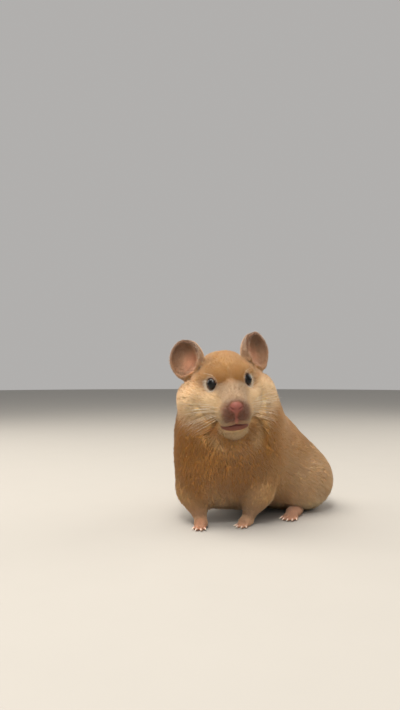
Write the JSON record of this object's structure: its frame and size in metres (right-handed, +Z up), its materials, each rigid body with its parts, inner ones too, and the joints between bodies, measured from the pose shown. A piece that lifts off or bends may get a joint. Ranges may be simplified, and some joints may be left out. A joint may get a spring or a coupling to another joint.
{
  "type": "syrian hamster model",
  "caption": "Life-size still model of a seated golden Syrian hamster with raised, turned head, round open ears and planted forefeet.",
  "frame": {"origin": "on the floor, under the middle of the overall box", "axes": "+Z up; the rump lies toward +Y and the forefeet toward -Y; the animal's left side is +X, and its head turns toward +X"},
  "size_m": [0.0762, 0.1136, 0.1029],
  "materials": {
    "golden_coat": "soft dense golden fur, paler on the cheeks and round the eyes",
    "cream_coat": "short soft cream fur",
    "pink_skin": "thinly haired pink skin",
    "ear_skin": "thin brownish pink skin with a darker rim",
    "eye_gloss": "wet black gloss",
    "claw_horn": "pale translucent horn"
  },
  "bodies": {
    "root": {"claw_forefoot_left_1": "claw_horn", "claw_forefoot_left_2": "claw_horn", "claw_forefoot_left_3": "claw_horn", "claw_forefoot_left_4": "claw_horn", "claw_forefoot_right_1": "claw_horn", "claw_forefoot_right_2": "claw_horn", "claw_forefoot_right_3": "claw_horn", "claw_forefoot_right_4": "claw_horn", "claw_hindfoot_left_1": "claw_horn", "claw_hindfoot_left_2": "claw_horn", "claw_hindfoot_left_3": "claw_horn", "claw_hindfoot_left_4": "claw_horn", "claw_hindfoot_left_5": "claw_horn", "claw_hindfoot_right_1": "claw_horn", "claw_hindfoot_right_2": "claw_horn", "claw_hindfoot_right_3": "claw_horn", "claw_hindfoot_right_4": "claw_horn", "claw_hindfoot_right_5": "claw_horn", "ear_left": "ear_skin", "ear_right": "ear_skin", "eye_left": "eye_gloss", "eye_right": "eye_gloss", "forefoot_left": "pink_skin", "forefoot_right": "pink_skin", "foreleg_left": "golden_coat", "foreleg_right": "golden_coat", "head": "golden_coat", "hindfoot_left": "pink_skin", "hindfoot_right": "pink_skin", "hindleg_left": "golden_coat", "hindleg_right": "golden_coat", "lower_jaw": "cream_coat", "neck": "golden_coat", "nose": "pink_skin", "tail": "pink_skin", "trunk": "golden_coat"}
  },
  "joints": []
}
